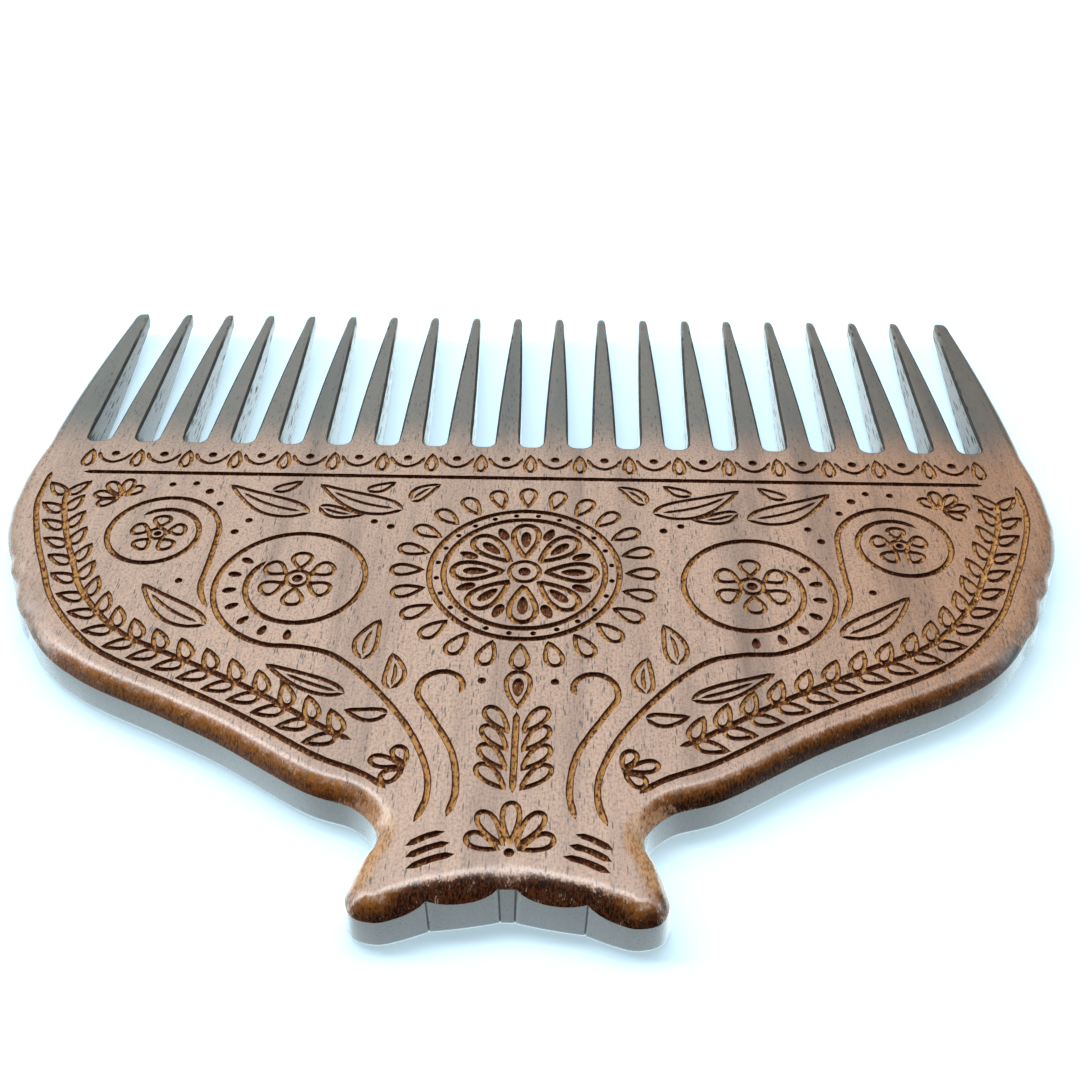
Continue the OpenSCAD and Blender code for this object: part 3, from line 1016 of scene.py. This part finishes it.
grooveLook = {
    # the first colour is a painted lit ochre for the floors of grooves that run along the board
    "litGold": (0.50, 0.255, 0.085), "red": (0.17, 0.052, 0.019),
    "brown": (0.034, 0.008, 0.003), "lip": (0.06, 0.018, 0.008),
    "blotch": ((0.34, 0.62, 0.34), 2.0, 0.6), "lengthwise": (0.35, 0.95), "litShare": (0.54, 0.76),
    "litMoreAlong": 0.2, "fleck": (0.4, 0.62), "lipEdge": (0.2, 0.6, 1.0, 0.0), "lipRagged": 0.9,
    "relief": (0.5, 0.06),
}


def makeGrooveWood():
    # burnt brown with light ochre patches that are painted light: few on grooves across the board, whose
    # floors would lie in shade, more on grooves along it, whose floors would be lit; never on the lip
    values = {"Roughness": 0.8, "IOR": 1.45, "Specular IOR Level": 0.15}
    material, tree, shader = newMaterial("burntGroove", values)
    look = grooveLook
    grain = placeGroup(tree, grainGroup).outputs
    fleck = grain["Fleck"]
    run = fade(tree, attribute(tree, "lengthwise"), *look["lengthwise"])
    blotch = noise(tree, *look["blotch"])
    # painted light: grooves along the board get the lit ochre, grooves across it keep the dark brown as
    # painted shade
    litShare = fade(tree, mathNode(tree, "MULTIPLY_ADD", run, look["litMoreAlong"], blotch), *look["litShare"])
    ragged = mathNode(tree, "SUBTRACT", fleck, 0.5)
    ragged = mathNode(tree, "MULTIPLY_ADD", ragged, look["lipRagged"], attribute(tree, "carve"))
    tone = mixColour(tree, fade(tree, fleck, *look["fleck"]), look["brown"], look["red"])
    tone = mixColour(tree, litShare, tone, look["litGold"])
    tone = mixColour(tree, fade(tree, ragged, *look["lipEdge"]), tone, look["lip"])
    setShader(tree, shader, Base_Color=tone, Normal=bump(tree, grain["Height"], *look["relief"]))
    return material


sawnLook = {
    "dark": (0.12, 0.085, 0.062), "light": (0.25, 0.195, 0.16), "pore": (0.015, 0.008, 0.005),
    # the gap-bottom patch colour and the edge colour are painted shade
    "gapShade": (0.012, 0.008, 0.006), "edge": (0.010, 0.012, 0.012), "edgeShadeShare": 0.9,
    "poreShare": 0.5, "poreLength": 3.2, "fleck": (0.3, 0.7),
    "patchNoise": ((0.5, 1.8, 0.9), 2.0, 0.6), "patch": (0.42, 0.56),
    "gapBottom": (0.0188, 0.0222, 1.0, 0.0), "tip": (0.046, 0.053, 1.0, 0.25),
    "edgeIn": (0.0, 0.15), "edgeOut": (0.85, 1.0, 1.0, 0.0),
    "rough": 0.3, "rougher": 0.6, "relief": (0.9, 0.14),
}


def makeSawnWood():
    # open grain on the sawn sides; dark patches in the gap bottoms that are painted shade; and painted shade
    # as a dark line along the rounded edges, fading toward the tips
    material, tree, shader = newMaterial("openGrain", {"IOR": 1.5})
    look = sawnLook
    values = {"Pore Share": look["poreShare"], "Pore Length": look["poreLength"]}
    grain = placeGroup(tree, grainGroup, values).outputs
    turn, along = attribute(tree, "turn"), objectPlace(tree)["Y"]
    tone = mixColour(tree, fade(tree, grain["Fleck"], *look["fleck"]), look["dark"], look["light"])
    tone = mixColour(tree, grain["Pores"], tone, look["pore"])
    # painted shade: dark patches low in the gaps, where the corners lie in shadow
    patch = fade(tree, noise(tree, *look["patchNoise"]), *look["patch"])
    gapShade = product(tree, patch, fade(tree, along, *look["gapBottom"]))
    tone = mixColour(tree, gapShade, tone, look["gapShade"])
    # painted shade: a dark line along the rounded long edges, fainter toward the tips
    edge = product(tree, fade(tree, turn, *look["edgeIn"]), fade(tree, turn, *look["edgeOut"]),
                   fade(tree, along, *look["tip"]))
    tone = mixColour(tree, product(tree, edge, look["edgeShadeShare"]), tone, look["edge"])
    dull = mathNode(tree, "MAXIMUM", mathNode(tree, "MAXIMUM", grain["Pores"], gapShade), edge)
    rough = mathNode(tree, "MULTIPLY_ADD", dull, look["rougher"], look["rough"])
    normal = bump(tree, grain["Height"], *look["relief"])
    setShader(tree, shader, Base_Color=tone, Roughness=rough, Normal=normal)
    return material


faceWood, grooveWood, sawnWood = makeFaceWood(), makeGrooveWood(), makeSawnWood()
print("comb: finishes made")

carveFace()
buildBoard([faceWood, grooveWood, sawnWood])
buildTeeth([faceWood, sawnWood])
print("comb: pieces made")

studio = {
    "lens": 41.667, "sensor": 36, "nearest": 0.005, "pitch": 40.483, "yaw": -1.644, "roll": -0.094,
    "place": (5.328, -67.152, 110.72),
}


def placeCamera():
    camera = addObject("studioCamera", bpy.data.cameras.new("studioCamera"))
    camera.data.lens = studio["lens"]
    camera.data.sensor_width = studio["sensor"]
    camera.data.clip_start = studio["nearest"]
    x, y, z = studio["place"]
    placed = Matrix.Translation(Vector((x, y - board["length"] / 2, z)) * mm)
    for axis, angle in (("Z", -studio["yaw"]), ("X", 90 - studio["pitch"]), ("Z", studio["roll"])):
        placed = placed @ Matrix.Rotation(math.radians(angle), 4, axis)
    camera.matrix_world = placed
    bpy.context.scene.camera = camera


placeCamera()

# how bright each part of the surround is, and the angles or shares of the sky over which it changes
sky = {
    "back": 0.7, "high": 4.3, "lamp": 7.0, "dark": 0.06, "shown": 1.2,
    "climb": (0.35, 1.15), "lampEdge": (1.06, 1.14), "cutOff": (1.24, 1.36, 1.0, 0.0),
    "dimRight": (0.0, 0.36, 1.0, 0.34), "sides": (0.7, 0.98, 0.0, 0.8),
    "lowTint": (0.5, 0.92, 1.0), "highTint": (0.98, 1.0, 1.0), "shownTint": (1.0, 1.0, 1.0),
}


def makeWorld():
    # a white sweep behind the comb that brightens up to a soft lamp high at the back; dark from there to the
    # camera, and soft light from either side
    world = bpy.data.worlds.new("studioWorld")
    world.use_nodes = True
    tree = world.node_tree
    way = addNode(tree, "SeparateXYZ", {0: addNode(tree, "TexCoord").outputs["Generated"]})
    x, y, z = way.outputs["X"], way.outputs["Y"], way.outputs["Z"]
    rise = mathNode(tree, "ARCTAN2", z, y)
    climb = fade(tree, rise, *sky["climb"])
    level = mathNode(tree, "MULTIPLY_ADD", climb, sky["high"] - sky["back"], sky["back"])
    lamp = product(tree, fade(tree, rise, *sky["lampEdge"]), sky["lamp"])
    level = product(tree, mathNode(tree, "ADD", level, lamp), fade(tree, rise, *sky["cutOff"]),
                    fade(tree, x, *sky["dimRight"]))
    level = mathNode(tree, "ADD", level, sky["dark"])
    level = mathNode(tree, "ADD", level, fade(tree, mathNode(tree, "ABSOLUTE", x), *sky["sides"]))
    seen = addNode(tree, "LightPath").outputs["Is Camera Ray"]
    tint = mixColour(tree, climb, sky["lowTint"], sky["highTint"])
    tint = mixColour(tree, seen, tint, sky["shownTint"])
    strength = mathNode(tree, "MULTIPLY_ADD", seen, mathNode(tree, "SUBTRACT", sky["shown"], level), level)
    background = tree.nodes["Background"]
    tree.links.new(tint, background.inputs["Color"])
    tree.links.new(strength, background.inputs["Strength"])
    bpy.context.scene.world = world


paper = {
    "half": 3, "below": 0.00005, "shown": (0.56, 0.70, 0.84, 1), "lift": (0.36, 0.49, 0.545, 1),
    "plain": (0.88, 0.93, 0.95, 1), "mirrored": (0.69, 0.90, 1.0, 1),
    "nearToFar": (0.03, 0.12, 3.1, 0.6), "towardSides": (0.046, 0.062, 1.0, 0.68),
}


def makeFloor():
    # pale paper; what the comb mirrors of it is brighter close by and in the middle
    mesh = bpy.data.meshes.new("floor")
    corners = [(x * paper["half"], y * paper["half"], 0) for x, y in ((-1, -1), (1, -1), (1, 1), (-1, 1))]
    mesh.from_pydata(corners, [], [range(4)])
    floor = addObject("floor", mesh)
    floor.location.z = -paper["below"]
    material, tree, shader = newMaterial("whitePaper", {})
    tree.nodes.remove(shader)
    ray = addNode(tree, "LightPath")
    lit = addNode(tree, "BsdfDiffuse", {"Color": paper["shown"]})
    lift = addNode(tree, "Emission", {"Color": paper["lift"]})
    shown = addNode(tree, "AddShader", {0: lit.outputs[0], 1: lift.outputs[0]})
    plain = addNode(tree, "BsdfDiffuse", {"Color": paper["plain"]})
    aside = mathNode(tree, "ABSOLUTE", objectPlace(tree)["X"])
    glow = product(tree, fade(tree, ray.outputs["Ray Length"], *paper["nearToFar"]),
                   fade(tree, aside, *paper["towardSides"]))
    mirrored = addNode(tree, "Emission", {"Color": paper["mirrored"], "Strength": glow})
    isGlossy, isSeen = ray.outputs["Is Glossy Ray"], ray.outputs["Is Camera Ray"]
    other = addNode(tree, "MixShader", {0: isGlossy, 1: plain.outputs[0], 2: mirrored.outputs[0]})
    mixed = addNode(tree, "MixShader", {0: isSeen, 1: other.outputs[0], 2: shown.outputs[0]})
    tree.links.new(mixed.outputs[0], tree.nodes["Material Output"].inputs["Surface"])
    mesh.materials.append(material)


makeWorld()
makeFloor()
bpy.context.scene.view_settings.view_transform = "Standard"

print("comb: scene ready")
